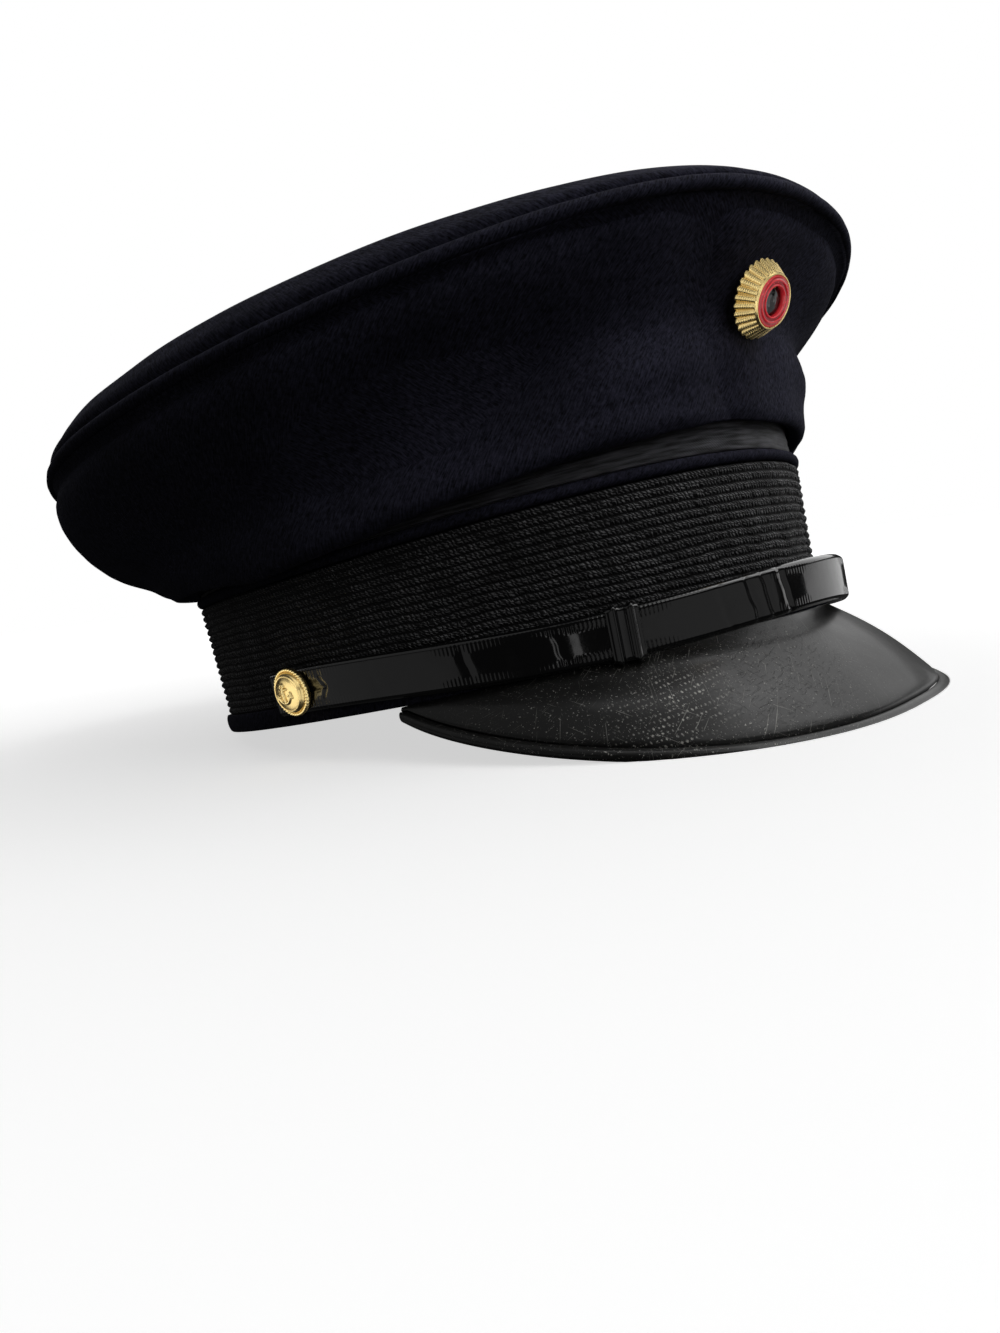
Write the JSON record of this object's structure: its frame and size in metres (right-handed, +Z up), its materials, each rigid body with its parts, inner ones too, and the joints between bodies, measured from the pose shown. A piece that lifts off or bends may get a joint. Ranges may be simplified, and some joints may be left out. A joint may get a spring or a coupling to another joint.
{
  "type": "naval officer cap",
  "caption": "Stiff peaked uniform cap: wide rising crown, ribbed braid band, glossy peak, chin strap on side buttons and a round front cockade",
  "frame": {"origin": "middle of the bounding box's underside, on the table that the cap rests on", "axes": "+X is the wearer's left, -Y is the front with the peak, +Z is up; the cap leans forward on its peak by about 6 degrees"},
  "size_m": [0.2308, 0.2888, 0.1316],
  "materials": {
    "crown_cloth": "brushed navy wool, matt",
    "satin": "fine twill satin, soft sheen",
    "braid": "ribbed black mohair braid",
    "patent_leather": "glossy black patent leather",
    "gilt": "stamped gilt metal, polished",
    "red_enamel": "glossy red enamel",
    "black_enamel": "glossy black enamel"
  },
  "bodies": {
    "root": {"crown_top": "crown_cloth", "crown_side": "crown_cloth", "crown_welt": "crown_cloth", "satin_strip": "satin", "band_piping": "crown_cloth", "braid_band": "braid", "bottom_binding": "crown_cloth", "peak": "patent_leather", "peak_bead": "patent_leather", "chin_strap": "patent_leather", "strap_keeper": "patent_leather", "button_right": "gilt", "button_left": "gilt", "cockade_shell": "gilt", "cockade_ring": "red_enamel", "cockade_centre": "black_enamel"}
  },
  "joints": []
}
